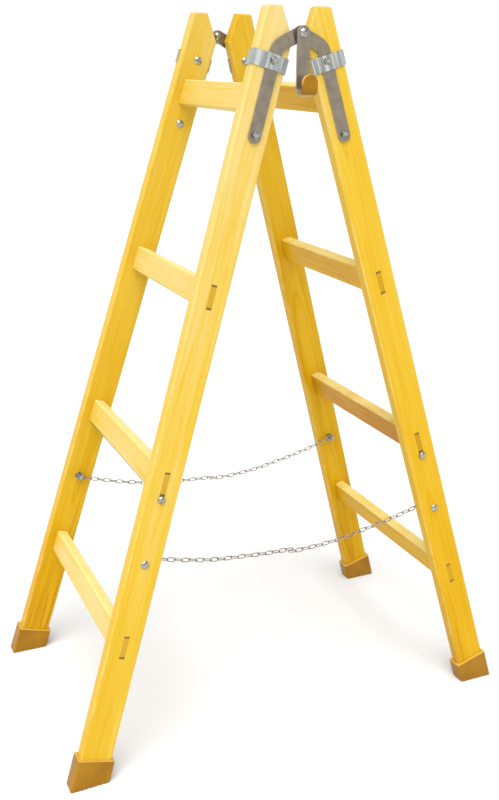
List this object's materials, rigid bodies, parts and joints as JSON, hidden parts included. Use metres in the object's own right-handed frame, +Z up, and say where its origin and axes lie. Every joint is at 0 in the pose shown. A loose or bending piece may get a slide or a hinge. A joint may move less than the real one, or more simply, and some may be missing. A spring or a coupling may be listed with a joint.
{
  "type": "step ladder",
  "caption": "Double-sided folding wooden step ladder with strap hinges, safety chains, moulded feet and a swinging bucket hook.",
  "frame": {"origin": "on the floor, midway between the four feet", "axes": "+Z up; X across the spread, front frame at -X and rear frame at +X; Y along the rungs and the hinge axis, the hook's side at -Y"},
  "size_m": [0.8018, 0.45, 1.1568],
  "materials": {
    "stile_pine": "yellow varnish, satin",
    "rung_pine": "yellow varnish, satin",
    "wedge_wood": "end grain under varnish",
    "amber_plastic": "moulded, slightly glossy",
    "flat_bar_steel": "dull zinc on hot rolled bar",
    "zinc_sheet": "bright zinc",
    "zinc_fasteners": "bright zinc",
    "chain_zinc": "bright zinc"
  },
  "bodies": {
    "front_frame": {"front_stile_near": "stile_pine", "front_stile_far": "stile_pine", "front_rung_1": "rung_pine", "front_rung_2": "rung_pine", "front_rung_3": "rung_pine", "front_rung_4": "rung_pine", "front_rung_wedges": "wedge_wood", "front_foot_near": "amber_plastic", "front_foot_far": "amber_plastic", "front_hinge_strap_near": "flat_bar_steel", "front_hinge_strap_far": "flat_bar_steel", "front_hinge_cuff_near": "zinc_sheet", "front_hinge_cuff_far": "zinc_sheet", "front_hinge_bolts": "zinc_fasteners", "front_hinge_nuts": "zinc_fasteners", "front_tie_rod": "zinc_fasteners", "front_tie_rod_nuts": "zinc_fasteners", "front_chain_bolts": "zinc_fasteners", "front_chain_nuts": "zinc_fasteners", "front_chain_washers": "zinc_fasteners", "hinge_rivet_near": "zinc_fasteners", "hinge_rivet_far": "zinc_fasteners", "hook_spacer": "zinc_fasteners"},
    "rear_frame": {"rear_stile_near": "stile_pine", "rear_stile_far": "stile_pine", "rear_rung_1": "rung_pine", "rear_rung_2": "rung_pine", "rear_rung_3": "rung_pine", "rear_rung_4": "rung_pine", "rear_rung_wedges": "wedge_wood", "rear_foot_near": "amber_plastic", "rear_foot_far": "amber_plastic", "rear_hinge_strap_near": "flat_bar_steel", "rear_hinge_strap_far": "flat_bar_steel", "rear_hinge_cuff_near": "zinc_sheet", "rear_hinge_cuff_far": "zinc_sheet", "rear_hinge_bolts": "zinc_fasteners", "rear_hinge_nuts": "zinc_fasteners", "rear_tie_rod": "zinc_fasteners", "rear_tie_rod_nuts": "zinc_fasteners", "rear_chain_bolts": "zinc_fasteners", "rear_chain_nuts": "zinc_fasteners", "rear_chain_washers": "zinc_fasteners"},
    "hook": {"bucket_hook": "flat_bar_steel", "hook_tip_cap": "amber_plastic"},
    "chain_near_front": {"chain_near_front": "chain_zinc"},
    "chain_near_rear": {"chain_near_rear": "chain_zinc"},
    "chain_far_front": {"chain_far_front": "chain_zinc"},
    "chain_far_rear": {"chain_far_rear": "chain_zinc"}
  },
  "joints": [
    {"name": "fold", "type": "hinge", "parent": "front_frame", "child": "rear_frame", "pos_m": [0, 0, 1.1205], "axis": [0, 1, 0], "range_deg": [0, 33.2]},
    {"name": "hook_swing", "type": "hinge", "parent": "front_frame", "child": "hook", "pos_m": [0, -0.1611, 1.1205], "axis": [0, 1, 0], "range_deg": [-60, 60]},
    {"name": "chain_near_front_swing", "type": "hinge", "parent": "front_frame", "child": "chain_near_front", "pos_m": [-0.26294, -0.17065, 0.35575], "axis": [0, 1, 0], "range_deg": [0, 86.2]},
    {"name": "chain_near_rear_swing", "type": "hinge", "parent": "rear_frame", "child": "chain_near_rear", "pos_m": [0.26294, -0.17065, 0.35575], "axis": [0, 1, 0], "range_deg": [-86.2, 0]},
    {"name": "chain_far_front_swing", "type": "hinge", "parent": "front_frame", "child": "chain_far_front", "pos_m": [-0.26294, 0.17065, 0.35575], "axis": [0, 1, 0], "range_deg": [0, 84.6]},
    {"name": "chain_far_rear_swing", "type": "hinge", "parent": "rear_frame", "child": "chain_far_rear", "pos_m": [0.26294, 0.17065, 0.35575], "axis": [0, 1, 0], "range_deg": [-84.6, 0]}
  ],
  "couplings": [
    {"joint": "chain_near_front_swing", "follows": "fold", "ratio": 2.5934},
    {"joint": "chain_near_rear_swing", "follows": "fold", "ratio": -2.5934},
    {"joint": "chain_far_front_swing", "follows": "fold", "ratio": 2.5452},
    {"joint": "chain_far_rear_swing", "follows": "fold", "ratio": -2.5452}
  ]
}
